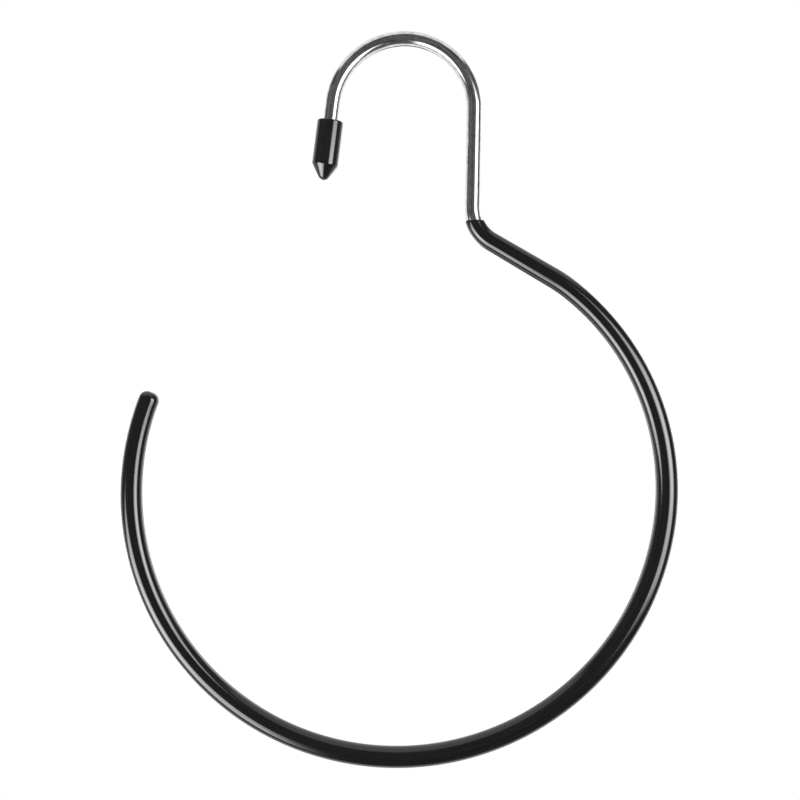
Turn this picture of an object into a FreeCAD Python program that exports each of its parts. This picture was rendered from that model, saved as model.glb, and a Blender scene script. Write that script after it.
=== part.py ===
import FreeCAD, Part
import math
import os
import Sketcher
from FreeCAD import Placement, Rotation, Vector

# Scarf hanger: one round wire bent in the XZ plane, a dip coating over its ring and a cap on its hook.
# The origin is the inside of the hook's crown, where the closet rail bears. +Z is up, the wire lies at Y = 0.

# Sizes in millimetres and degrees. Bend radii are to the wire's middle line.
SIZES = {
    "wire_diameter": 4.75,
    "wire_end_chamfer": 0.4,
    # the hook, from its tip over the crown and down the shank
    "tip_run_length": 19.6,
    "hook_front_radius": 23.2,
    "hook_front_angle": 82.8,
    "hook_back_radius": 22.2,
    "hook_back_angle": 91.0,
    "shank_length": 31.5,
    # the neck bend, the slant and the shoulder, which carry the ring out under the hook
    "neck_radius": 12.4,
    "neck_angle": 60.6,
    "slant_length": 23.0,
    "shoulder_radius": 48.0,
    "shoulder_angle": 8.2,
    # the open ring, in three rolled lengths
    "ring_upper_radius": 81.3,
    "ring_upper_angle": 59.4,
    "ring_lower_radius": 86.5,
    "ring_lower_angle": 102.1,
    "ring_end_radius": 84.1,
    "ring_end_angle": 91.9,
    # the dip coating: its thickness along the wire, and its two ends
    "dip_line_drop": 4.1,
    "coat_at_neck": 0.55,
    "coat_at_shoulder": 0.85,
    "coat_at_side": 1.15,
    "coat_at_foot": 1.05,
    "coat_at_tip": 0.85,
    "coat_over_tip": 1.0,
    "coat_taper_length": 40.0,
    "coat_rim_round": 0.3,
    "coat_tip_round": 2.55,
    # the push-on cap
    "cap_diameter": 8.3,
    "cap_bore_depth": 13.5,
    "cap_end_thickness": 5.5,
    "cap_nose_length": 4.8,
    "cap_nose_radius": 2.0,
    "cap_shoulder_round": 1.4,
    "cap_rim_round": 0.5,
    "cap_clearance": 0.02,
}

# The wire's route, both ways from the crown, where it runs level. A straight run has a length. A bend has a
# radius and an angle, and turns to the left or right of the way it runs, as seen from the front.
FRONT_ROUTE = [
    ("left", "hook_front_radius", "hook_front_angle"),
    ("straight", "tip_run_length"),
]
BACK_ROUTE = [
    ("right", "hook_back_radius", "hook_back_angle"),
    ("straight", "shank_length"),
]
RING_ROUTE = [
    ("left", "neck_radius", "neck_angle"),
    ("straight", "slant_length"),
    ("right", "shoulder_radius", "shoulder_angle"),
    ("right", "ring_upper_radius", "ring_upper_angle"),
    ("right", "ring_lower_radius", "ring_lower_angle"),
]
RING_END = ("right", "ring_end_radius", "ring_end_angle")

# The ends of a drawn line or arc, an arc's centre, and the sketch's own origin, upright axis and normal.
START_ID, END_ID, CENTRE_ID = 1, 2, 3
ORIGIN_ID = (-1, START_ID)
UPRIGHT_AXIS_ID = -2
NORMAL = Vector(0, 0, 1)

RIGHT_ANGLE = 90
# A round takes at most this share of the wall that it is on.
ROUND_SHARE = 0.8
# Points nearer than this are the same place.
TOUCH = 1e-5

doc = FreeCAD.newDocument("scarf_hanger")
sheet = doc.addObject("Spreadsheet::Sheet", "Sizes")
for row, (alias, value) in enumerate(SIZES.items(), start=1):
    sheet.set(f"A{row}", alias)
    sheet.set(f"B{row}", str(value))
    sheet.setAlias(f"B{row}", alias)
doc.recompute()


def size(alias):
    return float(getattr(sheet, alias))


def direction(degrees):
    return Vector(math.cos(math.radians(degrees)), math.sin(math.radians(degrees)), 0)


def new_body(name):
    body = doc.addObject("PartDesign::Body", name)
    body.Label = name
    return body


def front_sketch(body, name):
    """A sketch on the body's XZ plane: its x is X and its y is Z."""
    sketch = body.newObject("Sketcher::SketchObject", name)
    plane = next(feature for feature in body.Origin.OriginFeatures if feature.Role == "XZ_Plane")
    sketch.AttachmentSupport = [(plane, "")]
    sketch.MapMode = "FlatFace"
    return sketch


def constrain(sketch, *constraint):
    return sketch.addConstraint(Sketcher.Constraint(*constraint))


def bind(sketch, name, expression, *constraint):
    """Adds a named constraint whose value follows an expression."""
    sketch.renameConstraint(constrain(sketch, *constraint), name)
    sketch.setExpression(f"Constraints.{name}", expression)


def draw_lines(sketch, corners):
    """Straight lines from corner to corner, each joined to the next."""
    lines = [sketch.addGeometry(Part.LineSegment(a, b), False) for a, b in zip(corners, corners[1:])]
    for line, following in zip(lines, lines[1:]):
        constrain(sketch, "Coincident", line, END_ID, following, START_ID)
    return lines


def draw_run(sketch, point, heading, length, construction):
    """A straight run. Returns its near and far ends in the sketch, its end point and its heading."""
    end = point + direction(heading) * size(length)
    line = sketch.addGeometry(Part.LineSegment(point, end), construction)
    bind(sketch, length, f"Sizes.{length}", "Distance", line, size(length))
    return (line, START_ID), (line, END_ID), end, heading


def draw_bend(sketch, point, heading, turn, aliases, construction):
    """A bend to the left (turn 1) or right (turn -1), with the same results as a run.

    A length named after the radius and the angle carries the bend on past that angle.
    """
    radius, angle, *lengths = aliases
    sweep = math.radians(size(angle)) + sum(size(length) / size(radius) for length in lengths)
    terms = [f"Sizes.{angle} * 1 deg"]
    terms += [f"Sizes.{length} / Sizes.{radius} * 1 rad" for length in lengths]
    centre = point + direction(heading + RIGHT_ANGLE * turn) * size(radius)
    first = math.radians(heading - RIGHT_ANGLE * turn)
    last = first + sweep * turn
    circle = Part.Circle(centre, NORMAL, size(radius))
    arc = sketch.addGeometry(Part.ArcOfCircle(circle, min(first, last), max(first, last)), construction)
    bind(sketch, radius, f"Sizes.{radius}", "Radius", arc, size(radius))
    bind(sketch, angle, " + ".join(terms), "Angle", arc, sweep)
    end = centre + direction(math.degrees(last)) * size(radius)
    near, far = (START_ID, END_ID) if turn > 0 else (END_ID, START_ID)
    return (arc, near), (arc, far), end, heading + math.degrees(sweep) * turn


def draw_route(sketch, route, start, construction=False):
    """Draws the route's runs and bends, each tangent to the one before.

    start and the result are (joint, point, heading): the sketch end to join on, its place, and its way
    in degrees.
    """
    joint, point, heading = start
    for kind, *aliases in route:
        if kind == "straight":
            near, far, point, heading = draw_run(sketch, point, heading, *aliases, construction)
        else:
            turn = 1 if kind == "left" else -1
            near, far, point, heading = draw_bend(sketch, point, heading, turn, aliases, construction)
        if joint:
            constrain(sketch, "Tangent", *joint, *near)
        joint = far
    return joint, point, heading


def draw_back(sketch, construction=False):
    """Draws the hook's back and the shank, as the first lines of a sketch.

    They start at the crown, half a wire above the origin. Returns the shank's end and the crown, each as a
    start for draw_route.
    """
    crown = Vector(0, size("wire_diameter") / 2, 0)
    shank_end = draw_route(sketch, BACK_ROUTE, (None, crown, 0), construction)
    arc = 0
    constrain(sketch, "PointOnObject", arc, END_ID, UPRIGHT_AXIS_ID)
    constrain(sketch, "PointOnObject", arc, CENTRE_ID, UPRIGHT_AXIS_ID)
    bind(sketch, "crown_height", "Sizes.wire_diameter / 2", "DistanceY", *ORIGIN_ID, arc, END_ID, crown.y)
    return shank_end, ((arc, END_ID), crown, 2 * RIGHT_ANGLE)


def round_section(body, name, path, edge, share, diameter):
    """A circle square to the path at a share of one of its edges. Both are expressions."""
    sketch = body.newObject("Sketcher::SketchObject", name)
    sketch.AttachmentSupport = [(path, edge)]
    sketch.MapMode = "NormalToEdge"
    sketch.setExpression("MapPathParameter", share)
    circle = sketch.addGeometry(Part.Circle(Vector(), NORMAL, size("wire_diameter") / 2))
    constrain(sketch, "Coincident", circle, CENTRE_ID, *ORIGIN_ID)
    bind(sketch, "section", diameter, "Diameter", circle, size("wire_diameter"))
    return sketch


def round_edges(body, name, base, edges, radius, wall):
    """Rounds edges of the feature before it, by the named radius or as much as the wall has room for."""
    fillet = body.newObject("PartDesign::Fillet", name)
    fillet.Base = (base, edges)
    fillet.setExpression("Radius", f"min(Sizes.{radius}; {ROUND_SHARE} * ({wall}))")
    doc.recompute()
    return fillet


def flat_end_edges(shape):
    """Names of the edges round each flat face, the highest face first."""
    flats = [face for face in shape.Faces if face.Surface.TypeId == "Part::GeomPlane"]
    flats.sort(key=lambda face: -face.CenterOfMass.z)
    edges = list(enumerate(shape.Edges, start=1))
    return [[f"Edge{n}" for n, edge in edges if any(edge.isSame(e) for e in flat.Edges)] for flat in flats]


def circle_edges(shape, radius, level):
    """Names of the closed edges of a radius about the shape's own Z axis, at a level."""
    names = []
    for n, edge in enumerate(shape.Edges, start=1):
        point = edge.Vertexes[0].Point
        off_circle = abs(math.hypot(point.x, point.y) - radius) + abs(point.z - level)
        if edge.isClosed() and off_circle < TOUCH:
            names.append(f"Edge{n}")
    return names


def make_wire():
    """The bent wire, swept along its whole route, with both cut ends chamfered."""
    body = new_body("wire_frame")
    path = front_sketch(body, "wire_path")
    shank_end, crown = draw_back(path)
    draw_route(path, RING_ROUTE + [RING_END], shank_end)
    draw_route(path, FRONT_ROUTE, crown)
    doc.recompute()
    tip_edge = f"Edge{len(path.Shape.Edges)}"
    sweep = body.newObject("PartDesign::AdditivePipe", "wire_sweep")
    sweep.Profile = round_section(body, "wire_section", path, tip_edge, "1", "Sizes.wire_diameter")
    sweep.Spine = path
    doc.recompute()
    chamfer = body.newObject("PartDesign::Chamfer", "wire_ends")
    chamfer.Base = (sweep, sum(flat_end_edges(sweep.Shape), []))
    chamfer.setExpression("Size", "Sizes.wire_end_chamfer")
    doc.recompute()
    length = path.Shape.Length
    section_area = math.pi * size("wire_diameter") ** 2 / 4
    print("wire length", round(length, 1), "volume", round(sweep.Shape.Volume, 1),
          "section times length", round(section_area * length, 1))
    return body


def sweep_skin(body):
    """The coating's outside, swept through round sections that thicken down the ring."""
    path = front_sketch(body, "coating_path")
    shank_end, _ = draw_back(path, construction=True)
    draw_route(path, RING_ROUTE + [RING_END + ("coat_over_tip",)], shank_end)
    doc.recompute()
    end_arc = "(Sizes.ring_end_radius * Sizes.ring_end_angle * pi / 180 + Sizes.coat_over_tip)"
    # A bend to the right is drawn from its far end, so there a share of 0 is the end of the bend.
    stations = [
        ("neck_section", "Edge1", "0", "coat_at_neck"),
        ("shoulder_section", "Edge3", "1", "coat_at_shoulder"),
        ("side_section", "Edge5", "1", "coat_at_side"),
        ("foot_section", "Edge6", "1", "coat_at_foot"),
        ("taper_section", "Edge6", f"Sizes.coat_taper_length / {end_arc}", "coat_at_foot"),
        ("tip_section", "Edge6", "0", "coat_at_tip"),
    ]
    sections = [
        round_section(body, name, path, edge, share, f"Sizes.wire_diameter + 2 * Sizes.{thickness}")
        for name, edge, share, thickness in stations
    ]
    skin = body.newObject("PartDesign::AdditivePipe", "coating_sweep")
    skin.Profile = sections[0]
    skin.Sections = sections[1:]
    skin.Spine = path
    skin.Transformation = "Multisection"
    doc.recompute()
    return skin


def cut_at_dip_line(body, skin):
    """Takes off the skin above the dip line, which is level and not square to the wire."""
    above = front_sketch(body, "above_dip_line")
    (joint, place, _), _ = draw_back(above, construction=True)
    drop = size("dip_line_drop")
    reach = size("neck_radius") + size("wire_diameter")
    corners = [
        place + Vector(-reach, -drop, 0),
        place + Vector(reach, -drop, 0),
        place + Vector(reach, reach, 0),
        place + Vector(-reach, reach, 0),
    ]
    bottom, back, top, front = draw_lines(above, corners + corners[:1])
    constrain(above, "Coincident", front, END_ID, bottom, START_ID)
    for line in (bottom, top):
        constrain(above, "Horizontal", line)
    for line in (back, front):
        constrain(above, "Vertical", line)
    past_neck = "Sizes.neck_radius + Sizes.wire_diameter"
    bind(above, "drop", "Sizes.dip_line_drop", "DistanceY", bottom, START_ID, *joint, drop)
    bind(above, "reach_front", past_neck, "DistanceX", bottom, START_ID, *joint, reach)
    bind(above, "reach_back", past_neck, "DistanceX", *joint, back, END_ID, reach)
    bind(above, "reach_up", past_neck, "DistanceY", *joint, back, END_ID, reach)
    cut = body.newObject("PartDesign::Pocket", "dip_line")
    cut.Profile = above
    cut.Type = "ThroughAll"
    cut.Midplane = True
    doc.recompute()
    print("coating taken off above the dip line", round(skin.Shape.Volume - cut.Shape.Volume, 1))
    return cut


def make_coating(wire):
    """The dip coating: its skin, cut level at the dip line and rounded at both ends, less the wire inside."""
    body = new_body("coating_skin")
    cut = cut_at_dip_line(body, sweep_skin(body))
    rim_edges, _ = flat_end_edges(cut.Shape)
    rim = round_edges(body, "coating_rim", cut, rim_edges, "coat_rim_round", "Sizes.coat_at_neck")
    _, tip_edges = flat_end_edges(rim.Shape)
    tip_radius = "Sizes.wire_diameter / 2 + Sizes.coat_at_tip"
    round_edges(body, "coating_tip", rim, tip_edges, "coat_tip_round", tip_radius)
    coating = doc.addObject("Part::Cut", "ring_coating")
    coating.Label = "ring_coating"
    coating.Base = body
    coating.Tool = wire
    doc.recompute()
    return coating


def cap_outline(outer, shoulder, tip):
    """Corners of half the cap's section from the nose round to its tip, with the nose arc that closes it.

    The cone's side runs from the shoulder to touch the round nose.
    """
    bore = size("wire_diameter") / 2 + size("cap_clearance")
    depth = size("cap_bore_depth")
    radius = size("cap_nose_radius")
    centre = Vector(0, tip + radius, 0)
    to_shoulder = Vector(outer, shoulder, 0) - centre
    touch = math.atan2(to_shoulder.y, to_shoulder.x) - math.acos(radius / to_shoulder.Length)
    nose = Part.ArcOfCircle(Part.Circle(centre, NORMAL, radius), -math.pi / 2, touch)
    corners = [
        centre + direction(math.degrees(touch)) * radius,
        Vector(outer, shoulder, 0),
        Vector(outer, depth, 0),
        Vector(bore, depth, 0),
        Vector(bore, 0, 0),
        Vector(0, 0, 0),
        Vector(0, tip, 0),
    ]
    return corners, nose


def draw_cap_section(body, outer, shoulder, tip):
    """Half the cap's section: z = 0 is the bottom of its bore, where the wire's tip stops."""
    section = front_sketch(body, "cap_section")
    corners, nose_arc = cap_outline(outer, shoulder, tip)
    nose = section.addGeometry(nose_arc, False)
    cone, side, rim, wall, bottom, axis = draw_lines(section, corners)
    constrain(section, "Tangent", nose, END_ID, cone, START_ID)
    constrain(section, "Coincident", axis, END_ID, nose, START_ID)
    constrain(section, "Coincident", axis, START_ID, *ORIGIN_ID)
    for place in (START_ID, CENTRE_ID):
        constrain(section, "PointOnObject", nose, place, UPRIGHT_AXIS_ID)
    for line in (side, wall):
        constrain(section, "Vertical", line)
    for line in (rim, bottom):
        constrain(section, "Horizontal", line)
    bore_radius = "Sizes.wire_diameter / 2 + Sizes.cap_clearance"
    mouth = corners[3]
    bind(section, "outer", "Sizes.cap_diameter / 2", "DistanceX", *ORIGIN_ID, side, END_ID, outer)
    bind(section, "bore", bore_radius, "DistanceX", *ORIGIN_ID, wall, START_ID, mouth.x)
    bind(section, "depth", "Sizes.cap_bore_depth", "DistanceY", *ORIGIN_ID, wall, START_ID, mouth.y)
    bind(section, "end_thickness", "Sizes.cap_end_thickness", "DistanceY", axis, END_ID, *ORIGIN_ID, -tip)
    bind(section, "nose_length", "Sizes.cap_nose_length",
         "DistanceY", axis, END_ID, cone, END_ID, shoulder - tip)
    bind(section, "nose_radius", "Sizes.cap_nose_radius", "Radius", nose, size("cap_nose_radius"))
    return section


def place_on_hook_tip(body):
    """Pushes a body made about its own Z on to the end of the tip run, along it."""
    turn = "(Sizes.hook_front_angle * 1 deg)"
    across = f"Sizes.hook_front_radius * sin({turn}) + Sizes.tip_run_length * cos({turn})"
    down = f"Sizes.hook_front_radius * (1 - cos({turn})) + Sizes.tip_run_length * sin({turn})"
    body.Placement = Placement(Vector(), Rotation(Vector(0, 1, 0), RIGHT_ANGLE))
    body.setExpression("Placement.Rotation.Angle", f"{RIGHT_ANGLE} deg - {turn}")
    body.setExpression("Placement.Base.x", f"-({across})")
    body.setExpression("Placement.Base.z", f"Sizes.wire_diameter / 2 - ({down})")
    doc.recompute()


def make_cap():
    """The vinyl cap, turned about its own axis, with its shoulder and rim rounded, on the hook's tip."""
    body = new_body("hook_tip_cap")
    outer = size("cap_diameter") / 2
    tip = -size("cap_end_thickness")
    shoulder = tip + size("cap_nose_length")
    section = draw_cap_section(body, outer, shoulder, tip)
    turned = body.newObject("PartDesign::Revolution", "cap_turned")
    turned.Profile = section
    turned.ReferenceAxis = (section, ["V_Axis"])
    doc.recompute()
    shoulder_edges = circle_edges(turned.Shape, outer, shoulder)
    rounded = round_edges(body, "cap_shoulder", turned, shoulder_edges, "cap_shoulder_round",
                          "Sizes.cap_diameter / 2")
    rim_edges = circle_edges(rounded.Shape, outer, size("cap_bore_depth"))
    round_edges(body, "cap_rim", rounded, rim_edges, "cap_rim_round",
                "(Sizes.cap_diameter - Sizes.wire_diameter) / 2 - Sizes.cap_clearance")
    place_on_hook_tip(body)
    return body


wire = make_wire()
pieces = [wire, make_coating(wire), make_cap()]
for item in doc.Objects:
    if "Invalid" in item.State or "Error" in item.State:
        raise RuntimeError(f"{item.Label} failed: {item.State}")
for piece in pieces:
    if piece.Shape.isNull() or not piece.Shape.isValid() or len(piece.Shape.Solids) != 1:
        raise RuntimeError(f"{piece.Label} isn't one valid solid")

os.makedirs("parts", exist_ok=True)
for piece in pieces:
    piece.Shape.exportStep(f"parts/{piece.Label}.step")
    box = piece.Shape.optimalBoundingBox()
    extents = [round(extent, 2) for extent in (box.XLength, box.YLength, box.ZLength)]
    print(piece.Label, "volume", round(piece.Shape.Volume, 1), "size", extents)
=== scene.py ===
# %% [markdown]
# # A wire scarf hanger
# The real hanger is one chrome-plated steel wire, bent in one plane into a closet hook and an open
# ring. The ring has been dipped in black PVC, and a push-on vinyl cap covers the hook's tip.
# The measured CAD model is loaded first and stays as the frame. Its pieces could be shown as they
# are, but their faces are loose triangles. New meshes with even rows of faces carry long sharp
# reflections without ripples, so each piece is modelled again here, in the same place.

import math

import bmesh
import bpy
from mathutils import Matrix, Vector


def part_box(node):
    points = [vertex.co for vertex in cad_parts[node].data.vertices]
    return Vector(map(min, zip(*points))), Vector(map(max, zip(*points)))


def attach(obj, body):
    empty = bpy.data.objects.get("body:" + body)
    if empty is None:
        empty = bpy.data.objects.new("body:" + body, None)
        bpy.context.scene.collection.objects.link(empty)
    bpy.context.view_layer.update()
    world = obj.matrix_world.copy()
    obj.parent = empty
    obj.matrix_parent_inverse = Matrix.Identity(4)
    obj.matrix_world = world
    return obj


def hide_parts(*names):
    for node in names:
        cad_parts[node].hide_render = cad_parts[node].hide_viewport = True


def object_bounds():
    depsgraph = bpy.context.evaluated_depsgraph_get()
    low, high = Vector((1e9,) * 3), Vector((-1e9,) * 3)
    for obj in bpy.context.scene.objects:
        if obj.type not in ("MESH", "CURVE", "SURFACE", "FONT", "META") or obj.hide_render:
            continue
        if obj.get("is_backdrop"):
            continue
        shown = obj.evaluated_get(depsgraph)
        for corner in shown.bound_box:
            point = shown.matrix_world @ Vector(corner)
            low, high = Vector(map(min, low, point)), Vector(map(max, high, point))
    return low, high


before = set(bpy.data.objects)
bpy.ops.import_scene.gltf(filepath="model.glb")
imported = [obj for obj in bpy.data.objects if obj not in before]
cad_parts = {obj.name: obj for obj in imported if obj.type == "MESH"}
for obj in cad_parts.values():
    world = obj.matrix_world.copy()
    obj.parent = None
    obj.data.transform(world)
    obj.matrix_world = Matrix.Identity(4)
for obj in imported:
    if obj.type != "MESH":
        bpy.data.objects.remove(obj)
cad_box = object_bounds()
MM = 0.001
print("CAD nodes:", ", ".join(sorted(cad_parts)))
print("CAD height in mm:", round((cad_box[1].z - cad_box[0].z) / MM, 1))

# %% [markdown]
# ## The camera
# The photograph looks straight at the flat hanger. Two things fix the camera: how much of the
# hanger's plane fits into the square picture, and how far away it stands. The distance shows in the
# cap's rim and in the dip line, which arch because both are above the camera.

# %% Camera
PICTURE_SPAN = 256 * MM
CAMERA_DISTANCE = 420 * MM
PICTURE_CENTRE = Vector((-1.56 * MM, 0, -113.26 * MM))
SENSOR_WIDTH = 36

bpy.ops.object.camera_add(
    location=PICTURE_CENTRE - Vector((0, CAMERA_DISTANCE, 0)),
    rotation=(math.radians(90), 0, 0),
)
camera = bpy.context.object
camera.name = "camera"
camera.data.sensor_width = SENSOR_WIDTH
camera.data.lens = SENSOR_WIDTH * CAMERA_DISTANCE / PICTURE_SPAN
bpy.context.scene.camera = camera
print("lens in mm:", round(camera.data.lens, 2))

# %% [markdown]
# ## A bending bench
# A wire former feeds straight wire and bends it round pins. A curve with a bevel would be quicker,
# but its rings tilt and crowd in tight bends. Here an edit-mode circle is extruded for a straight
# run and spun for a bend, exactly as the bench does it. The bench also notes where each point would
# lie on the straight wire, so that drawing lines in the metal can follow the bends later.

# %% Bending bench
LEFT, RIGHT = 1, -1
ACROSS_THE_FLAT = (0, 1, 0)


class BendingBench:
    """A wire being bent in the hanger's plane, with its end selected in edit mode."""

    def __init__(self, end, heading, length=0.0):
        self.end = end.copy()
        self.heading = heading
        self.length = length
        self.straight = []
        self.note_points(lambda arm: (arm.dot(self.leftward()), 0.0), self.end)

    def forward(self):
        return Vector((math.cos(self.heading), 0, math.sin(self.heading)))

    def leftward(self):
        return Vector((-math.sin(self.heading), 0, math.cos(self.heading)))

    def note_points(self, unbend, pivot):
        """Keeps (across, depth, along) on the straight wire for the points that were just made."""
        points = bmesh.from_edit_mesh(bpy.context.object.data).verts
        points.ensure_lookup_table()
        for point in points[len(self.straight):]:
            across, along = unbend(point.co - pivot)
            self.straight.append((across, point.co.y, self.length + along))

    def run(self, length):
        """Feeds the wire straight on."""
        forward, leftward = self.forward(), self.leftward()
        bpy.ops.mesh.extrude_region_move(TRANSFORM_OT_translate={"value": forward * length})
        self.note_points(lambda arm: (arm.dot(leftward), arm.dot(forward)), self.end)
        self.end += forward * length
        self.length += length

    def bend(self, radius, degrees, turn, step):
        """Bends the wire round a pin on its left or right, in steps of about the given degrees."""
        angle = math.radians(degrees)
        pin = self.end + self.leftward() * turn * radius
        first = self.end - pin
        steps = math.ceil(degrees / step)
        bpy.ops.mesh.spin(steps=steps, angle=turn * angle, center=pin, axis=ACROSS_THE_FLAT)

        def unbend(arm):
            turned = math.atan2(first.x * arm.z - first.z * arm.x, first.x * arm.x + first.z * arm.z)
            return turn * (radius - math.hypot(arm.x, arm.z)), turn * turned * radius

        self.note_points(unbend, pin)
        self.heading += turn * angle
        self.end = pin + Vector((math.sin(self.heading), 0, -math.cos(self.heading))) * turn * radius
        self.length += radius * angle


# %% [markdown]
# ## On and off the bench
# A new wire starts as a circle that is clamped square to its heading. When the bends are done, the
# normals are made to point outwards, and the noted places are kept on the mesh as an attribute.

# %% Clamp a wire and take it off
STRAIGHT_WIRE = "straight_wire"


def clamp_wire(name, radius, sides, fill, end, heading):
    """Puts a new circle on the bench and leaves it selected in edit mode."""
    bpy.ops.object.select_all(action="DESELECT")
    square = (0, math.radians(90) - heading, 0)
    bpy.ops.mesh.primitive_circle_add(
        vertices=sides, radius=radius, fill_type=fill, location=end, rotation=square
    )
    bpy.ops.object.transform_apply(location=True, rotation=True, scale=True)
    piece = bpy.context.object
    piece.name = name
    bpy.ops.object.mode_set(mode="EDIT")
    bpy.ops.mesh.select_all(action="SELECT")
    return piece


def take_off_bench(piece, bench):
    """Leaves edit mode, with each point's place on the straight wire kept."""
    bpy.ops.mesh.select_all(action="SELECT")
    bpy.ops.mesh.normals_make_consistent(inside=False)
    bpy.ops.object.mode_set(mode="OBJECT")
    places = piece.data.attributes.new(STRAIGHT_WIRE, "FLOAT_VECTOR", "POINT")
    places.data.foreach_set("vector", [value for place in bench.straight for value in place])
    print(piece.name, "length in mm:", round(bench.length / MM, 1), "points:", len(bench.straight))


# %% [markdown]
# ## The chrome wire
# One wire makes the hook, the slanted neck and the ring. It starts at the hook's tip, goes up over
# the crown, down the shank, out to the right and once round clockwise to the free end. The thickness
# is read from the frame. The bends are written as a bender would note them, radius and angle, which
# is shorter than any list of points and stays exactly round.

# %% The hook's bends
wire_low, wire_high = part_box("wire_frame")
WIRE_RADIUS = (wire_high.y - wire_low.y) / 2
TIP_RUN = 19.6 * MM
HOOK_FRONT_RADIUS, HOOK_FRONT_ANGLE = 23.2 * MM, 82.8
HOOK_BACK_RADIUS, HOOK_BACK_ANGLE = 22.2 * MM, 91.0
SHANK_LENGTH = 31.5 * MM
HOOK_STEP = 2.0


def bend_hook(bench):
    """From the hook's tip over the crown to the end of the shank."""
    bench.run(TIP_RUN)
    bench.bend(HOOK_FRONT_RADIUS, HOOK_FRONT_ANGLE, RIGHT, HOOK_STEP)
    bench.bend(HOOK_BACK_RADIUS, HOOK_BACK_ANGLE, RIGHT, HOOK_STEP)
    bench.run(SHANK_LENGTH)


tip_heading = math.radians(HOOK_FRONT_ANGLE)
tip_forward = Vector((math.cos(tip_heading), 0, math.sin(tip_heading)))
crown_pin = Vector((0, 0, WIRE_RADIUS - HOOK_FRONT_RADIUS))
bend_start = crown_pin + Vector((-tip_forward.z, 0, tip_forward.x)) * HOOK_FRONT_RADIUS
hook_tip = bend_start - tip_forward * TIP_RUN
print("wire in mm:", round(2 * WIRE_RADIUS / MM, 2), "tip at:", [round(c / MM, 1) for c in hook_tip])

# %% [markdown]
# ## The ring's bends
# Below the shank the wire turns out to the right and runs down to the ring. A hand-fed ring is never
# one perfect circle: three arcs of slightly different radius follow the real one. The last arc is
# bent apart from the others, because the coating reaches a little further there than the wire.

# %% Bend the whole wire
NECK_RADIUS, NECK_ANGLE, NECK_RUN = 12.4 * MM, 60.6, 23.0 * MM
SHOULDER_RADIUS, SHOULDER_ANGLE = 48.0 * MM, 8.2
RING_UPPER_RADIUS, RING_UPPER_ANGLE = 81.3 * MM, 59.4
RING_LOWER_RADIUS, RING_LOWER_ANGLE = 86.5 * MM, 102.1
RING_END_RADIUS, RING_END_ANGLE = 84.1 * MM, 91.9
WIRE_SIDES = 64
COVERED_STEP = 3.0
NECK_COARSER = 1.5


def bend_ring(bench, step):
    """From the end of the shank through the neck and round the ring's right side and foot."""
    bench.bend(NECK_RADIUS, NECK_ANGLE, LEFT, step * NECK_COARSER)
    bench.run(NECK_RUN)
    bench.bend(SHOULDER_RADIUS, SHOULDER_ANGLE, RIGHT, step)
    bench.bend(RING_UPPER_RADIUS, RING_UPPER_ANGLE, RIGHT, step)
    bench.bend(RING_LOWER_RADIUS, RING_LOWER_ANGLE, RIGHT, step)


wire = clamp_wire("chrome_wire", WIRE_RADIUS, WIRE_SIDES, "NGON", hook_tip, tip_heading)
wire_bench = BendingBench(hook_tip, tip_heading)
bend_hook(wire_bench)
shank_end, shank_heading, shank_at = wire_bench.end.copy(), wire_bench.heading, wire_bench.length
bend_ring(wire_bench, COVERED_STEP)
wire_bench.bend(RING_END_RADIUS, RING_END_ANGLE, RIGHT, COVERED_STEP)
take_off_bench(wire, wire_bench)
wire_end, end_forward = wire_bench.end.copy(), wire_bench.forward()
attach(wire, "root")
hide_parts("wire_frame")

# %% [markdown]
# ## The cut ends
# Wire that is cut to length gets its sharp edges broken, so that a cap slides on and a coating
# sticks. A modifier would bevel every edge that is sharp enough. Picking the two end rings by their
# place is surer: only edges that lie wholly beyond a plane across the wire's end are taken.

# %% Break the wire's ends
END_CHAMFER = 0.4 * MM
CHAMFER_SEGMENTS = 2
END_REACH = 3 * WIRE_RADIUS
HAIR = 0.01 * MM


def pick_beyond(piece, point, outward):
    """Selects the edges close to a point that lie wholly beyond the plane through it."""
    bpy.ops.mesh.select_mode(type="EDGE")
    bpy.ops.mesh.select_all(action="DESELECT")
    mesh = bmesh.from_edit_mesh(piece.data)
    for edge in mesh.edges:
        arms = [corner.co - point for corner in edge.verts]
        edge.select_set(all(arm.length < END_REACH and arm.dot(outward) > 0 for arm in arms))
    mesh.select_flush_mode()
    bmesh.update_edit_mesh(piece.data)
    return sum(edge.select for edge in mesh.edges)


bpy.context.view_layer.objects.active = wire
bpy.ops.object.mode_set(mode="EDIT")
for end, outward in ((hook_tip, -tip_forward), (wire_end, end_forward)):
    picked = pick_beyond(wire, end - outward * HAIR, outward)
    bpy.ops.mesh.bevel(offset=END_CHAMFER, segments=CHAMFER_SEGMENTS, affect="EDGES")
    print("edges broken at an end:", picked)
bpy.ops.object.mode_set(mode="OBJECT")

# %% [markdown]
# ## The dip coating
# The finished wire is hung ring-down in liquid PVC, so the skin ends in a level line across the
# neck. It is thin there, thickens down the ring, and rounds off over the free end. A tube with the
# wire's own surface is bent first. Solidify then lays the skin on it, with a vertex group that says
# how thick it is at each point, as paint would be.

# %% Bend the tube under the coating
COAT_SIDES = 72
COAT_STEP = 1.2
TIP_CLEARANCE = 0.15 * MM
LAST_STEP = 2.4

coating = clamp_wire("dip_coating", WIRE_RADIUS, COAT_SIDES, "NOTHING", shank_end, shank_heading)
coat_bench = BendingBench(shank_end, shank_heading, shank_at)
bend_ring(coat_bench, COAT_STEP)
past_wire = math.degrees(TIP_CLEARANCE / RING_END_RADIUS)
coat_bench.bend(RING_END_RADIUS, RING_END_ANGLE + past_wire - LAST_STEP, RIGHT, COAT_STEP)
coat_bench.bend(RING_END_RADIUS, LAST_STEP, RIGHT, LAST_STEP)
bpy.ops.mesh.edge_face_add()
take_off_bench(coating, coat_bench)

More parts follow.
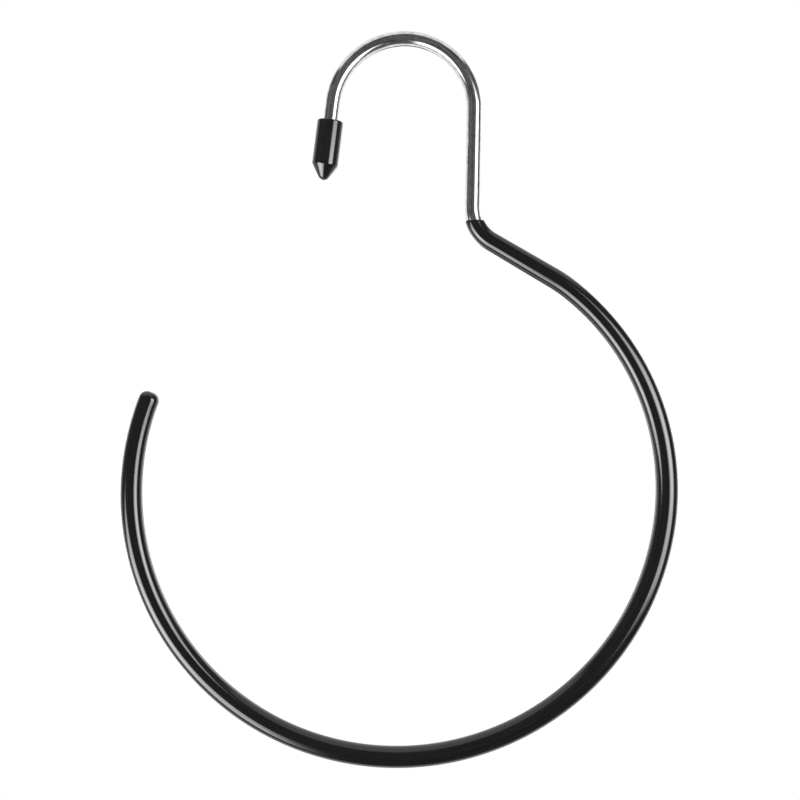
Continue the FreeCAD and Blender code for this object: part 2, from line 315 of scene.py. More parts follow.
# %% [markdown]
# ## The level dip line
# Bisect cuts the tube off at the level of the liquid. A few more level cuts below it give the rim
# rows of points that follow the line, which is what lets its edge be round.

# %% Cut at the dip line
DIP_DROP = 4.1 * MM
DIP_LINE = shank_end.z - DIP_DROP
RIM_ROUND = 0.45 * MM
RIM_ROWS = 5


def cut_level(height, clear_above):
    """Cuts the whole tube at one height, and takes away what is above if asked to."""
    bpy.ops.mesh.select_all(action="SELECT")
    bpy.ops.mesh.bisect(plane_co=(0, 0, height), plane_no=(0, 0, 1), clear_outer=clear_above)


def rim_drop(row):
    """How far a row of the rim is below the dip line, closer together towards the line."""
    return RIM_ROUND * (1 - math.cos(math.radians(90) * row / RIM_ROWS))


bpy.ops.object.mode_set(mode="EDIT")
cut_level(DIP_LINE, True)
for row in range(1, RIM_ROWS + 1):
    cut_level(DIP_LINE - rim_drop(row), False)
bpy.ops.object.mode_set(mode="OBJECT")
print("dip line in mm:", round(DIP_LINE / MM, 2), "points in the tube:", len(coating.data.vertices))

# %% [markdown]
# ## The skin's thickness
# The liquid runs down while it sets, so the skin is thin at the neck and heavy on the ring. A few
# stations along the wire say how thick it is, with smooth steps between them. Within the rim the
# thickness follows a quarter circle, so that the edge rolls onto the metal.

# %% Thickness along the wire
NECK_END = shank_at + NECK_RADIUS * math.radians(NECK_ANGLE) + NECK_RUN
SHOULDER_END = NECK_END + SHOULDER_RADIUS * math.radians(SHOULDER_ANGLE)
UPPER_END = SHOULDER_END + RING_UPPER_RADIUS * math.radians(RING_UPPER_ANGLE)
LOWER_END = UPPER_END + RING_LOWER_RADIUS * math.radians(RING_LOWER_ANGLE)
WIRE_END = wire_bench.length
TIP_TAPER = 40 * MM
COAT_STATIONS = [
    (shank_at, 0.55 * MM),
    (NECK_END, 0.85 * MM),
    (UPPER_END, 1.15 * MM),
    (LOWER_END, 1.05 * MM),
    (WIRE_END - TIP_TAPER, 1.05 * MM),
    (WIRE_END, 0.85 * MM),
]


def smooth_step(share):
    share = min(max(share, 0.0), 1.0)
    return share * share * (3 - 2 * share)


def skin_thickness(along):
    """The skin at a place along the wire, from the stations on either side of it."""
    thickness = COAT_STATIONS[0][1]
    for (start, before), (stop, after) in zip(COAT_STATIONS, COAT_STATIONS[1:]):
        if along >= start:
            thickness = before + (after - before) * smooth_step((along - start) / (stop - start))
    return thickness


def rim_share(height):
    """How much of its thickness the skin has at this height, from none at the dip line."""
    short = 1 - min(max((DIP_LINE - height) / RIM_ROUND, 0.0), 1.0)
    return math.sqrt(1 - short * short)


print("skin at the foot in mm:", round(skin_thickness((UPPER_END + LOWER_END) / 2) / MM, 2))

# %% [markdown]
# ## Laying the skin on
# Each point of the tube gets a weight, its share of the thickest skin. Solidify then moves a copy of
# the surface outwards by that much and closes the rim between the two. A trace of thickness is left
# even at the dip line, because faces of no height would shade badly.

# %% Lay the skin on
THICKEST = max(thickness for _, thickness in COAT_STATIONS)
LEAST_SHARE = 0.04

skin = coating.vertex_groups.new(name="skin")
for point, place in zip(coating.data.vertices, coating.data.attributes[STRAIGHT_WIRE].data):
    share = skin_thickness(place.vector.z) / THICKEST * rim_share(point.co.z)
    skin.add([point.index], max(share, LEAST_SHARE), "REPLACE")

lay_skin = coating.modifiers.new("lay_skin", "SOLIDIFY")
lay_skin.thickness = THICKEST
lay_skin.offset = 1
lay_skin.use_even_offset = True
lay_skin.vertex_group = skin.name
bpy.context.view_layer.objects.active = coating
bpy.ops.object.modifier_apply(modifier=lay_skin.name)
print("thickest skin in mm:", THICKEST / MM, "faces:", len(coating.data.polygons))

# %% [markdown]
# ## The rounded free end
# A dipped end is a soft dome with a small flat. The outer edge of the closed end is picked by its
# place, further out than the tube's own end, and bevelled with a round profile.

# %% Round the free end
TIP_ROUND = 2.55 * MM
TIP_SEGMENTS = 10
ROUND_PROFILE = 0.5

bpy.ops.object.mode_set(mode="EDIT")
picked = pick_beyond(coating, wire_end + end_forward * 2 * TIP_CLEARANCE, end_forward)
bpy.ops.mesh.bevel(
    offset=TIP_ROUND, segments=TIP_SEGMENTS, profile=ROUND_PROFILE, affect="EDGES", clamp_overlap=True
)
bpy.ops.object.mode_set(mode="OBJECT")
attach(coating, "root")
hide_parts("ring_coating")
print("edges rounded at the free end:", picked, "faces:", len(coating.data.polygons))

# %% [markdown]
# ## The tip cap
# The cap is a soft vinyl sleeve with a solid nose, pushed over the hook's tip. Its outline is worked
# out first, as rings of a height and a radius: a straight side, a cone that touches the ball of the
# nose, and a bore that the wire fits with a hair of room.

# %% The nose's outline
cap_low, cap_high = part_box("hook_tip_cap")
CAP_RADIUS = (cap_high.y - cap_low.y) / 2
BORE_CLEARANCE = 0.02 * MM
BORE_RADIUS = WIRE_RADIUS + BORE_CLEARANCE
BORE_DEPTH = 13.5 * MM
SHOULDER = -0.7 * MM
NOSE_TIP = -5.5 * MM
NOSE_BALL = 2.0 * MM
NOSE_ROWS = 8
BALL_HEIGHT = NOSE_TIP + NOSE_BALL
CONE_RISE = SHOULDER - BALL_HEIGHT
TOUCH = math.atan2(CONE_RISE, CAP_RADIUS) - math.acos(NOSE_BALL / math.hypot(CAP_RADIUS, CONE_RISE))


def nose_rings():
    """Heights and radii on the nose's ball, from where the cone touches it to just before its pole."""
    to_pole = math.radians(-90) - TOUCH
    for row in range(NOSE_ROWS):
        angle = TOUCH + to_pole * row / NOSE_ROWS
        yield BALL_HEIGHT + NOSE_BALL * math.sin(angle), NOSE_BALL * math.cos(angle)


outside = [(BORE_DEPTH, CAP_RADIUS), (SHOULDER, CAP_RADIUS), *nose_rings()]
bore = [(BORE_DEPTH, CAP_RADIUS), (BORE_DEPTH, BORE_RADIUS), (0, BORE_RADIUS)]
cap_length = BORE_DEPTH - NOSE_TIP
print("cap in mm:", round(cap_length / MM, 1), "long,", round(2 * CAP_RADIUS / MM, 1), "across")

# %% [markdown]
# ## Growing the cap
# A screw modifier could sweep the outline round. Here the cap grows by hand instead: a circle at the
# mouth is extruded and scaled down the outside, over the ball of the nose to its pole, and again down
# the bore.

# %% Grow the cap
CAP_SIDES = 72


def draw_through(rings):
    """Extrudes the selected ring from the first height and radius through all the others."""
    for (height, radius), (next_height, next_radius) in zip(rings, rings[1:]):
        shrink = next_radius / radius
        bpy.ops.mesh.extrude_region_move(TRANSFORM_OT_translate={"value": (0, 0, next_height - height)})
        bpy.ops.transform.resize(value=(shrink, shrink, 1), center_override=(0, 0, 0))


def pick_ring(piece, height, radius):
    """Selects the edges of one ring of a turned piece, by its height and radius."""
    bpy.ops.mesh.select_all(action="DESELECT")
    mesh = bmesh.from_edit_mesh(piece.data)
    for edge in mesh.edges:
        misses = [(c.co.z - height, math.hypot(c.co.x, c.co.y) - radius) for c in edge.verts]
        edge.select_set(all(abs(miss) < HAIR for pair in misses for miss in pair))
    mesh.select_flush_mode()
    bmesh.update_edit_mesh(piece.data)


bpy.ops.object.select_all(action="DESELECT")
bpy.ops.mesh.primitive_circle_add(vertices=CAP_SIDES, radius=CAP_RADIUS, location=(0, 0, BORE_DEPTH))
bpy.ops.object.transform_apply(location=True, rotation=True, scale=True)
cap = bpy.context.object
cap.name = "tip_cap"
bpy.ops.object.mode_set(mode="EDIT")
bpy.ops.mesh.select_mode(type="EDGE")
bpy.ops.mesh.select_all(action="SELECT")
draw_through(outside)
last_height = outside[-1][0]
bpy.ops.mesh.extrude_region_move(TRANSFORM_OT_translate={"value": (0, 0, NOSE_TIP - last_height)})
bpy.ops.mesh.merge(type="CENTER")
pick_ring(cap, BORE_DEPTH, CAP_RADIUS)
draw_through(bore)
bpy.ops.mesh.edge_face_add()
bpy.ops.mesh.select_all(action="SELECT")
bpy.ops.mesh.normals_make_consistent(inside=False)
print("cap faces before rounding:", len(bmesh.from_edit_mesh(cap.data).faces))

# %% [markdown]
# ## The cap's soft edges
# Moulded vinyl has no sharp edge anywhere. Each ring is picked by its place and bevelled with its own
# radius, and then the whole cap is tilted and set on the hook's tip. A bevel is told how far back from
# the edge it starts. That is the radius on a square edge, but less on the blunt edge of the shoulder.

# %% Round the cap and set it on the tip
SHOULDER_ROUND = 1.4 * MM
RIM_EDGE_ROUND = 0.5 * MM
BORE_EDGE_ROUND = 0.2 * MM
CAP_ROUNDS = [
    (BORE_DEPTH, CAP_RADIUS, RIM_EDGE_ROUND),
    (BORE_DEPTH, BORE_RADIUS, BORE_EDGE_ROUND),
    (SHOULDER, CAP_RADIUS, SHOULDER_ROUND * math.tan(-TOUCH / 2)),
]
ROUND_SEGMENTS = 8

for height, radius, rounding in CAP_ROUNDS:
    pick_ring(cap, height, radius)
    bpy.ops.mesh.bevel(offset=rounding, segments=ROUND_SEGMENTS, profile=ROUND_PROFILE, affect="EDGES")
bpy.ops.object.mode_set(mode="OBJECT")
cap.rotation_euler = (0, math.radians(90) - tip_heading, 0)
cap.location = hook_tip
bpy.ops.object.transform_apply(location=True, rotation=True, scale=True)
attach(cap, "root")
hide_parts("hook_tip_cap")
print("cap faces:", len(cap.data.polygons))

# %% [markdown]
# ## Smooth shading
# The pieces are round, so their faces are shaded smooth. The angle keeps the wire's cut ends flat.

# %% Smooth shading
SHARP_ANGLE = 40

for piece in (wire, coating, cap):
    bpy.ops.object.select_all(action="DESELECT")
    piece.select_set(True)
    bpy.context.view_layer.objects.active = piece
    bpy.ops.object.shade_smooth_by_angle(angle=math.radians(SHARP_ANGLE))
    print(piece.name, "smooth, with", len(piece.data.polygons), "faces")

# %% [markdown]
# ## A way to write finishes
# Every finish is a small tree of nodes. Adding them one by one takes many lines, so one helper adds a
# node, sets it up and joins what feeds it. Two more give the patterns that all finishes share: a
# grain whose spacing is written in real lengths, and a smooth change from one value to another.

# %% Node helpers
def feed(tree, socket, value):
    """Joins another node's output to a socket, or sets the socket to a plain value."""
    if isinstance(value, bpy.types.NodeSocket):
        tree.links.new(value, socket)
    else:
        socket.default_value = value


def node_adder(tree):
    """Gives a function that adds a node to this tree and returns it."""

    def add(kind, inputs=None, **settings):
        node = tree.nodes.new("ShaderNode" + kind)
        for setting, value in settings.items():
            setattr(node, setting, value)
        for name, value in (inputs or {}).items():
            feed(tree, node.inputs[name], value)
        return node

    return add


def grain(add, place, spacing, detail):
    """A noise over a place, with its spacing along each axis given as a length."""
    scale = [1 / gap for gap in spacing]
    stretched = add("Mapping", {"Vector": place, "Scale": scale}).outputs["Vector"]
    return add("TexNoise", {"Vector": stretched, "Scale": 1.0, "Detail": detail}).outputs["Fac"]


def change(add, value, start, stop, low, high):
    """Goes smoothly from low to high while the value goes from start to stop."""
    ends = {"From Min": start, "From Max": stop, "To Min": low, "To Max": high}
    return add("MapRange", {"Value": value, **ends}, interpolation_type="SMOOTHSTEP").outputs["Result"]


def work(add, operation, first, second):
    """One step of arithmetic between two values."""
    return add("Math", {0: first, 1: second}, operation=operation).outputs["Value"]


def new_finish(name):
    """A material, its shader and the function that adds nodes to it."""
    finish = bpy.data.materials.new(name)
    finish.use_nodes = True
    return finish, finish.node_tree.nodes["Principled BSDF"], node_adder(finish.node_tree)


GRAIN_LOW, GRAIN_HIGH = 0.3, 0.7
print("a grain mostly lies between", GRAIN_LOW, "and", GRAIN_HIGH)

# %% [markdown]
# ## Chrome
# Bright plating is a thin mirror over drawn wire. A plain mirror looks like a drawing of one, because
# the real wire shows its lengthwise drawing lines and a faint cloudiness of the plating. Both are
# read from the places on the straight wire, so that they follow every bend.

# %% Chrome plating
LINE_SPACING = (0.4 * MM, 0.4 * MM, 30 * MM)
CLOUD_SPACING = (0.6 * MM, 0.6 * MM, 1.4 * MM)
CHROME_DULL = (0.54, 0.545, 0.565, 1)
CHROME_BRIGHT = (0.88, 0.885, 0.90, 1)
CHROME_ROUGHNESS = (0.03, 0.085)
LINE_DEPTH, LINE_STRENGTH = 0.004 * MM, 0.3

chrome, shader, add = new_finish("bright_chrome")
on_wire = add("Attribute", attribute_name=STRAIGHT_WIRE).outputs["Vector"]
lines = grain(add, on_wire, LINE_SPACING, detail=3.0)
clouds = grain(add, on_wire, CLOUD_SPACING, detail=4.0)
tone = change(add, clouds, GRAIN_LOW, GRAIN_HIGH, 0.0, 1.0)
plating = add("Mix", {0: tone, 6: CHROME_DULL, 7: CHROME_BRIGHT}, data_type="RGBA").outputs[2]
polish = change(add, lines, GRAIN_LOW, GRAIN_HIGH, *CHROME_ROUGHNESS)
drawing = {"Height": lines, "Strength": LINE_STRENGTH, "Distance": LINE_DEPTH}
drawn = add("Bump", drawing).outputs["Normal"]
feed(chrome.node_tree, shader.inputs["Base Color"], plating)
feed(chrome.node_tree, shader.inputs["Normal"], drawn)
shader.inputs["Metallic"].default_value = 1
wire.data.materials.append(chrome)
print("chrome nodes:", len(chrome.node_tree.nodes))

# %% [markdown]
# ## Where the hook rubs
# The crown hangs on a closet rail and slides along it, which leaves fine scratches across the wire on
# the inside of the bend. They only dull the mirror a little, so they go into the roughness.

# %% Rail rub
CROWN_AT = TIP_RUN + HOOK_FRONT_RADIUS * math.radians(HOOK_FRONT_ANGLE)
RUB_HALF_LENGTH = (5 * MM, 14 * MM)
RUB_INSIDE = (-1.0 * MM, -2.2 * MM)
SCRATCH_SPACING = (0.3 * MM, 5 * MM, 0.25 * MM)
SCRATCH_BAND = (0.45, 0.7)
RUB_ROUGHNESS = 0.16

axes = add("SeparateXYZ", {"Vector": on_wire}).outputs
past_crown = work(add, "SUBTRACT", axes["Z"], CROWN_AT)
from_crown = add("Math", {0: past_crown}, operation="ABSOLUTE").outputs["Value"]
on_crown = change(add, from_crown, *RUB_HALF_LENGTH, 1.0, 0.0)
inside = change(add, axes["X"], *RUB_INSIDE, 0.0, 1.0)
across_wire = grain(add, on_wire, SCRATCH_SPACING, detail=2.0)
scratches = change(add, across_wire, *SCRATCH_BAND, 0.0, RUB_ROUGHNESS)
rub = work(add, "MULTIPLY", work(add, "MULTIPLY", on_crown, inside), scratches)
feed(chrome.node_tree, shader.inputs["Roughness"], work(add, "ADD", polish, rub))
print("rub centred at mm along the wire:", round(CROWN_AT / MM, 1))

# %% [markdown]
# ## Black PVC
# The dip sets glossy with a faint orange peel and long soft runs from the draining. A little bump from
# two grains gives the highlights their slightly uneven edges, and a finer grain breaks up the gloss.
# The black is not zero: real black plastic returns about one percent of the light.

# %% Black dip PVC
PEEL_SPACING = (2.5 * MM, 2.5 * MM, 4 * MM)
RUN_SPACING = (7 * MM, 7 * MM, 40 * MM)
SPECK_SPACING = (0.4 * MM, 0.4 * MM, 0.7 * MM)
PVC_ROUGHNESS = (0.08, 0.13)
PVC_DEEP = (0.0075, 0.0075, 0.008, 1)
PVC_PALE = (0.0105, 0.0105, 0.0113, 1)
PVC_IOR = 1.54
PEEL_DEPTH, RUN_DEPTH = 0.02 * MM, 0.1 * MM
WAVE_STRENGTH = 0.5

black_pvc, shader, add = new_finish("black_dip_pvc")
on_wire = add("Attribute", attribute_name=STRAIGHT_WIRE).outputs["Vector"]
peel = grain(add, on_wire, PEEL_SPACING, detail=2.0)
runs = grain(add, on_wire, RUN_SPACING, detail=1.0)
specks = grain(add, on_wire, SPECK_SPACING, detail=3.0)
draining = {"Height": runs, "Strength": WAVE_STRENGTH, "Distance": RUN_DEPTH}
long_waves = add("Bump", draining).outputs["Normal"]
orange_peel = {"Height": peel, "Strength": WAVE_STRENGTH, "Distance": PEEL_DEPTH, "Normal": long_waves}
skin_normal = add("Bump", orange_peel).outputs["Normal"]
tone = change(add, specks, GRAIN_LOW, GRAIN_HIGH, 0.0, 1.0)
pigment = add("Mix", {0: tone, 6: PVC_DEEP, 7: PVC_PALE}, data_type="RGBA").outputs[2]
gloss = change(add, specks, GRAIN_LOW, GRAIN_HIGH, *PVC_ROUGHNESS)
feed(black_pvc.node_tree, shader.inputs["Base Color"], pigment)
feed(black_pvc.node_tree, shader.inputs["Normal"], skin_normal)
shader.inputs["IOR"].default_value = PVC_IOR
coating.data.materials.append(black_pvc)
print("black PVC nodes:", len(black_pvc.node_tree.nodes))

# %% [markdown]
# ## Where scarves slide
# Scarves are threaded through the ring and hang on the inside of its foot. Cloth polishes more than
# it scratches, so there the gloss is only broken by faint lengthwise scuffs.

# %% Scuffs inside the foot
SCUFF_INSIDE = (-1.2 * MM, -3.0 * MM)
SCUFF_FADE = 40 * MM
SCUFF_SPACING = (0.5 * MM, 0.5 * MM, 8 * MM)
SCUFF_BAND = (0.5, 0.7)
SCUFF_ROUGHNESS = 0.09

axes = add("SeparateXYZ", {"Vector": on_wire}).outputs
past_right = change(add, axes["Z"], UPPER_END, UPPER_END + SCUFF_FADE, 0.0, 1.0)
before_left = change(add, axes["Z"], LOWER_END - SCUFF_FADE, LOWER_END, 1.0, 0.0)
inside = change(add, axes["X"], *SCUFF_INSIDE, 0.0, 1.0)
foot = work(add, "MULTIPLY", work(add, "MULTIPLY", past_right, before_left), inside)
along_wire = grain(add, on_wire, SCUFF_SPACING, detail=3.0)
scuffs = change(add, along_wire, *SCUFF_BAND, 0.0, SCUFF_ROUGHNESS)
dulled = work(add, "ADD", gloss, work(add, "MULTIPLY", foot, scuffs))
feed(black_pvc.node_tree, shader.inputs["Roughness"], dulled)
print("scuffs from", round(UPPER_END / MM), "to", round(LOWER_END / MM), "mm along the wire")

# %% [markdown]
# ## Cap vinyl
# The cap is softer than the coating and comes from a mould, so its gloss is even and slightly satin,
# with a very fine grain. It is one plain turned piece, so Object coordinates are enough.

# %% Black cap vinyl
GRAIN_SPACING = (0.35 * MM, 0.35 * MM, 0.35 * MM)
CLOUDY_SPACING = (3 * MM, 3 * MM, 3 * MM)
VINYL_ROUGHNESS = (0.09, 0.14)
VINYL_DEEP = (0.0085, 0.0085, 0.0088, 1)
VINYL_PALE = (0.0125, 0.0125, 0.013, 1)
VINYL_IOR = 1.54
MOULD_DEPTH, MOULD_STRENGTH = 0.004 * MM, 0.3

vinyl, shader, add = new_finish("black_cap_vinyl")
on_cap = add("TexCoord").outputs["Object"]
fine = grain(add, on_cap, GRAIN_SPACING, detail=2.0)
cloudy = grain(add, on_cap, CLOUDY_SPACING, detail=2.0)
tone = change(add, cloudy, GRAIN_LOW, GRAIN_HIGH, 0.0, 1.0)
pigment = add("Mix", {0: tone, 6: VINYL_DEEP, 7: VINYL_PALE}, data_type="RGBA").outputs[2]
gloss = change(add, fine, GRAIN_LOW, GRAIN_HIGH, *VINYL_ROUGHNESS)
mould_grain = {"Height": fine, "Strength": MOULD_STRENGTH, "Distance": MOULD_DEPTH}
moulded = add("Bump", mould_grain).outputs["Normal"]
feed(vinyl.node_tree, shader.inputs["Base Color"], pigment)
feed(vinyl.node_tree, shader.inputs["Roughness"], gloss)
feed(vinyl.node_tree, shader.inputs["Normal"], moulded)
shader.inputs["IOR"].default_value = VINYL_IOR
cap.data.materials.append(vinyl)
print("vinyl nodes:", len(vinyl.node_tree.nodes))

# %% [markdown]
# ## The room
# Chrome and gloss black look like whatever surrounds them. The photo's reflections point to a white
# backdrop behind the hanger, a white panel overhead and a dark, uneven side with the camera. The world
# shader paints these three by direction for mirrors to see. An image of a studio would do the same,
# but its edges could not be set to where the wire shows them. The dark opening in the backdrop's middle
# is not from the photo. From the front it only draws a fine line along the wire's edges, and from
# behind it keeps the chrome from turning plain white.

# %% Paint the backdrop and the dark side
WHITE_LEVEL = 1.0
BACKDROP_AXIS = Vector((-0.055, 1, -0.181)).normalized()
BACKDROP_EDGE, BACKDROP_SOFTNESS = 0.282, 0.1
OPENING_EDGE, OPENING_SOFTNESS = 0.87, 0.03
DARK_SIDE = (0.04, 0.18)
DARK_PATCHES = 5.0

world = bpy.data.worlds.new("studio_room")
bpy.context.scene.world = world
world.use_nodes = True
add = node_adder(world.node_tree)
direction = add("TexCoord").outputs["Generated"]


def past_edge(value, edge, softness, low, high):
    """Goes from low to high where a value passes an edge."""
    return change(add, value, edge - softness, edge + softness, low, high)


facing = add("VectorMath", {0: direction, 1: BACKDROP_AXIS}, operation="DOT_PRODUCT").outputs["Value"]
cloth = past_edge(facing, BACKDROP_EDGE, BACKDROP_SOFTNESS, 0.0, WHITE_LEVEL)
opening = past_edge(facing, OPENING_EDGE, OPENING_SOFTNESS, 1.0, 0.0)
backdrop = work(add, "MULTIPLY", cloth, opening)
patches = add("TexNoise", {"Vector": direction, "Scale": DARK_PATCHES, "Detail": 3.0}).outputs["Fac"]
dark_side = change(add, patches, GRAIN_LOW, GRAIN_HIGH, *DARK_SIDE)
print("backdrop out to degrees:", round(math.degrees(math.acos(BACKDROP_EDGE))))

# %% [markdown]
# ## The panel overhead
# The panel is a rectangle, so its edges are written as slopes: how far sideways or forwards a ray
# goes for each metre that it rises.

# %% Paint the panel
PANEL_LEVEL = 0.95
PANEL_LEFT, PANEL_RIGHT, PANEL_FRONT = -1.10, 0.93, -0.52
PANEL_SOFTNESS = 0.15
LEVEL_RAY = 0.05

axes = add("SeparateXYZ", {"Vector": direction}).outputs
rise = work(add, "MAXIMUM", axes["Z"], LEVEL_RAY)
sideways = work(add, "DIVIDE", axes["X"], rise)
backwards = work(add, "DIVIDE", axes["Y"], rise)
panel = past_edge(backwards, PANEL_FRONT, PANEL_SOFTNESS, 0.0, PANEL_LEVEL)
for mask in (
    past_edge(sideways, PANEL_LEFT, PANEL_SOFTNESS, 0.0, 1.0),
    past_edge(sideways, PANEL_RIGHT, PANEL_SOFTNESS, 1.0, 0.0),
    change(add, axes["Z"], LEVEL_RAY, 2 * LEVEL_RAY, 0.0, 1.0),
):
    panel = work(add, "MULTIPLY", panel, mask)
print("panel slopes:", PANEL_LEFT, "to", PANEL_RIGHT)

# %% [markdown]
# ## Who sees what
# Only reflections see the painted room. Plain light for matt surfaces stays even, and the camera
# itself sees white, so the picture gets its white ground without more light on the hanger.

# %% Light the room
PLAIN_LEVEL = 0.75

painted = work(add, "MAXIMUM", work(add, "MAXIMUM", backdrop, panel), dark_side)
rays = add("LightPath").outputs
through_gloss = work(add, "MAXIMUM", rays["Is Glossy Ray"], rays["Is Transmission Ray"])
lit = add("Mix", {"Factor": through_gloss, "A": PLAIN_LEVEL, "B": painted}).outputs["Result"]
seen = add("Mix", {"Factor": rays["Is Camera Ray"], "A": lit, "B": WHITE_LEVEL}).outputs["Result"]
background = world.node_tree.nodes["Background"]
background.inputs["Color"].default_value = (1, 1, 1, 1)
feed(world.node_tree, background.inputs["Strength"], seen)
print("world nodes:", len(world.node_tree.nodes))

# %% [markdown]
# ## Softboxes
# The long highlights in the black ring are two softboxes, one to the right and one low on the left.
# Area lamps would light matt surfaces as well. These are glowing cards that only mirrors see, so the
# plain light level stays as it is. Each cloth is brightest in its middle and fades out at its border.
# The fade is raised to a power, so that it starts slowly and the highlights get soft edges. The cards
# are see-through and add their glow to the room behind them.

# %% Softbox cloth
RIM_OF_PEAK = 0.55
FALL_REACH = 0.80
SOFT_BORDER = 0.32
BORDER_POWER = 3.0
CARD_REACH = 1 + SOFT_BORDER


def glowing_cloth(name, tint, peak):
    """A see-through material that glows most in the cloth's middle and fades out at its border."""
    cloth = bpy.data.materials.new(name)
    cloth.use_nodes = True
    cloth.node_tree.nodes.clear()
    add = node_adder(cloth.node_tree)
    on_card = add("TexCoord").outputs["Object"]
    on_cloth = add("VectorMath", {0: on_card, "Scale": CARD_REACH}, operation="SCALE").outputs[0]
    from_middle = add("VectorMath", {0: on_cloth}, operation="LENGTH").outputs["Value"]
    fall = change(add, from_middle, 0.0, FALL_REACH, peak, peak * RIM_OF_PEAK)
    mirrored = add("VectorMath", {0: on_cloth}, operation="ABSOLUTE").outputs[0]
    sides = add("SeparateXYZ", {0: mirrored}).outputs
    to_border = work(add, "MAXIMUM", sides["X"], sides["Y"])
    fade = change(add, to_border, 1 - SOFT_BORDER, 1 + SOFT_BORDER, 1.0, 0.0)
    strength = work(add, "MULTIPLY", fall, work(add, "POWER", fade, BORDER_POWER))
    glow = add("Emission", {"Color": tint, "Strength": strength}).outputs["Emission"]
    clear = add("BsdfTransparent").outputs["BSDF"]
    add("OutputMaterial", {"Surface": add("AddShader", {0: glow, 1: clear}).outputs["Shader"]})
    return cloth


print("a card reaches", CARD_REACH, "times as far as its cloth")

# %% [markdown]
# ## Where they hang
# The two large boxes stand where the photo's highlights lead back to: every wire is a known cylinder,
# so each bright spot on it gives one direction in the room. The two dim strips behind the hanger are
# not in the photo. They give the back of the black ring a highlight too, and from the front they are
# only seen at the very edge of the wire.

# %% Where the softboxes stand
SOFTBOXES = {
    "right_softbox": {
        "place": (0.383, -0.320, -0.101),
        "turn": (96.2, 7.8, 44.2),
        "size": (0.401, 0.527),
        "tint": (0.965, 0.965, 1.0, 1),
    },
    "left_softbox": {
        "place": (-0.416, -0.239, -0.393),
        "turn": (-148.0, 25.5, 93.7),
        "size": (0.416, 0.650),
        "tint": (1.0, 1.0, 1.0, 1),
    },
    "rear_right_strip": {
        "place": (0.24, 0.55, -0.1),
        "turn": (90.0, 0.0, 0.0),
        "size": (0.13, 0.5),
        "tint": (0.45, 0.45, 0.45, 1),
    },
    "rear_left_strip": {
        "place": (-0.25, 0.55, -0.2),
        "turn": (90.0, 0.0, 0.0),
        "size": (0.13, 0.5),
        "tint": (0.45, 0.45, 0.45, 1),
    },
}

print("softboxes:", ", ".join(SOFTBOXES))

# %% [markdown]
# ## One card for black, one for chrome
# Gloss black returns a few percent of what it mirrors and chrome returns most of it. At the level that
# black needs, every edge of a highlight in the chrome would burn out and look jagged. So each softbox
# is two cards, and light linking says which pieces see which: a bright card for the black pieces, and
# a dimmer and slightly larger one for the wire. The second stands a little nearer, so that the two
# never lie in one plane.

# %% Hang the softboxes
AUDIENCES = {
    "for_black": {"pieces": (coating, cap), "peak": 13.5, "growth": 1.0, "nearness": 1.0},
    "for_chrome": {"pieces": (wire,), "peak": 4.0, "growth": 1.2, "nearness": 0.99},
}


def hang_card(name, box, audience, watchers):
    """One softbox's card, seen only in the mirrors of the pieces that watch it."""
    bpy.ops.object.select_all(action="DESELECT")
    bpy.ops.mesh.primitive_plane_add(size=2, location=Vector(box["place"]) * audience["nearness"])
    card = bpy.context.object
    card.name = name
    card.rotation_euler = [math.radians(angle) for angle in box["turn"]]
    card.scale = [audience["growth"] * CARD_REACH * side / 2 for side in box["size"]] + [1]
    card.data.materials.append(glowing_cloth(name, box["tint"], audience["peak"]))
    card.visible_camera = False
    card.visible_diffuse = False
    card.visible_shadow = False
    card.light_linking.receiver_collection = watchers
    card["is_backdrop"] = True


for ending, audience in AUDIENCES.items():
    watchers = bpy.data.collections.new(ending)
    for piece in audience["pieces"]:
        watchers.objects.link(piece)
    for name, box in SOFTBOXES.items():
        hang_card(name + "_" + ending, box, audience, watchers)
    print("cards", ending, "glow up to", audience["peak"])

# %% [markdown]
# ## Floor
# The hanger hangs free, so a pale floor lies a little below it and only takes its shadow. The floor
# fades out towards its edge and ends in the white ground without a line.

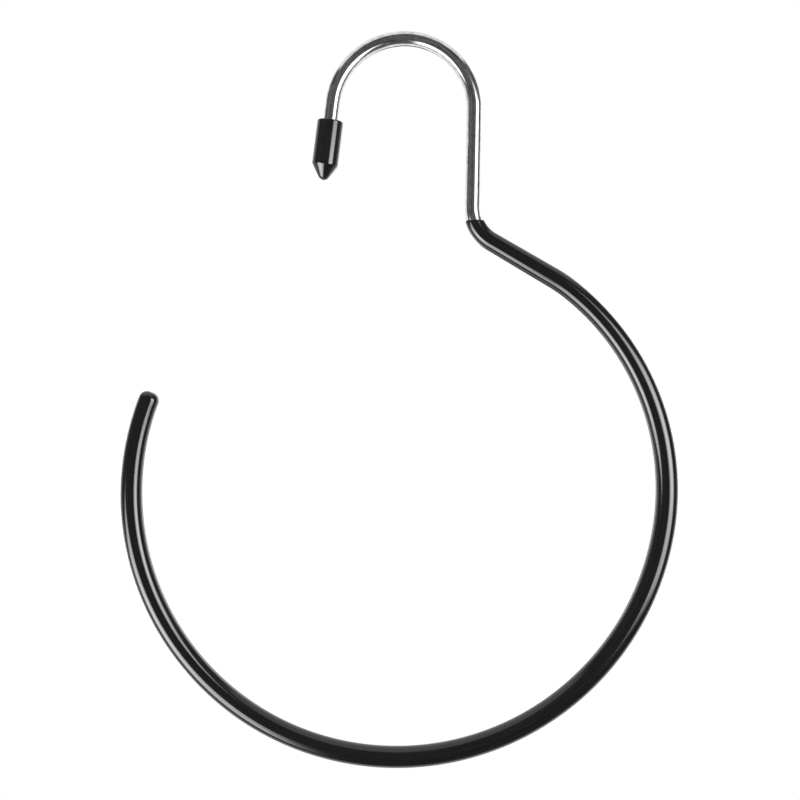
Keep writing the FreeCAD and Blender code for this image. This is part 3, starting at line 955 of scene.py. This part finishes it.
# %% Floor
FLOOR_RADIUS = 0.2
FLOOR_DROP = 0.07
FLOOR_FADE = (0.08, 0.19)
FLOOR_COLOUR = (0.85, 0.85, 0.85, 1)
FLOOR_ROUGHNESS = 0.8
FLOOR_SIDES = 96

bpy.ops.object.select_all(action="DESELECT")
floor_place = (0, 0, cad_box[0].z - FLOOR_DROP)
bpy.ops.mesh.primitive_circle_add(
    vertices=FLOOR_SIDES, radius=FLOOR_RADIUS, fill_type="NGON", location=floor_place
)
floor = bpy.context.object
floor.name = "floor"
pale, shader, add = new_finish("pale_floor")
on_floor = add("TexCoord").outputs["Object"]
from_middle = add("VectorMath", {0: on_floor}, operation="LENGTH").outputs["Value"]
feed(pale.node_tree, shader.inputs["Alpha"], change(add, from_middle, *FLOOR_FADE, 1.0, 0.0))
shader.inputs["Base Color"].default_value = FLOOR_COLOUR
shader.inputs["Roughness"].default_value = FLOOR_ROUGHNESS
floor.data.materials.append(pale)
floor.visible_glossy = False
floor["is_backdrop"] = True
print("floor below the ring in mm:", round(FLOOR_DROP / MM))

# %% [markdown]
# ## Key light
# The room's even light gives no clear shadow. A small lamp high on the left gives it a direction. It is
# kept out of reflections, where the softboxes already are.

# %% Key light
KEY_PLACE = (-0.2, -0.3, 0.6)
KEY_TURN = (25, 0, -30)
KEY_ENERGY = 3.0
KEY_SIZE = 0.12

bpy.ops.object.light_add(type="AREA", location=KEY_PLACE)
key = bpy.context.object
key.name = "key_light"
key.data.energy = KEY_ENERGY
key.data.size = KEY_SIZE
key.rotation_euler = [math.radians(angle) for angle in KEY_TURN]
key.visible_glossy = False
print("key light in W:", KEY_ENERGY)

# %% [markdown]
# ## The finished picture
# The Standard view shows colours as they are written. Last, the new pieces' box is kept beside the
# CAD box, to show that the dressed hanger is still its real size.

# %% Picture settings
bpy.context.scene.view_settings.view_transform = "Standard"
visual_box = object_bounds()
cad_size = cad_box[1] - cad_box[0]
visual_size = visual_box[1] - visual_box[0]
print("growth over the CAD box in mm:", [round(side / MM, 3) for side in visual_size - cad_size])
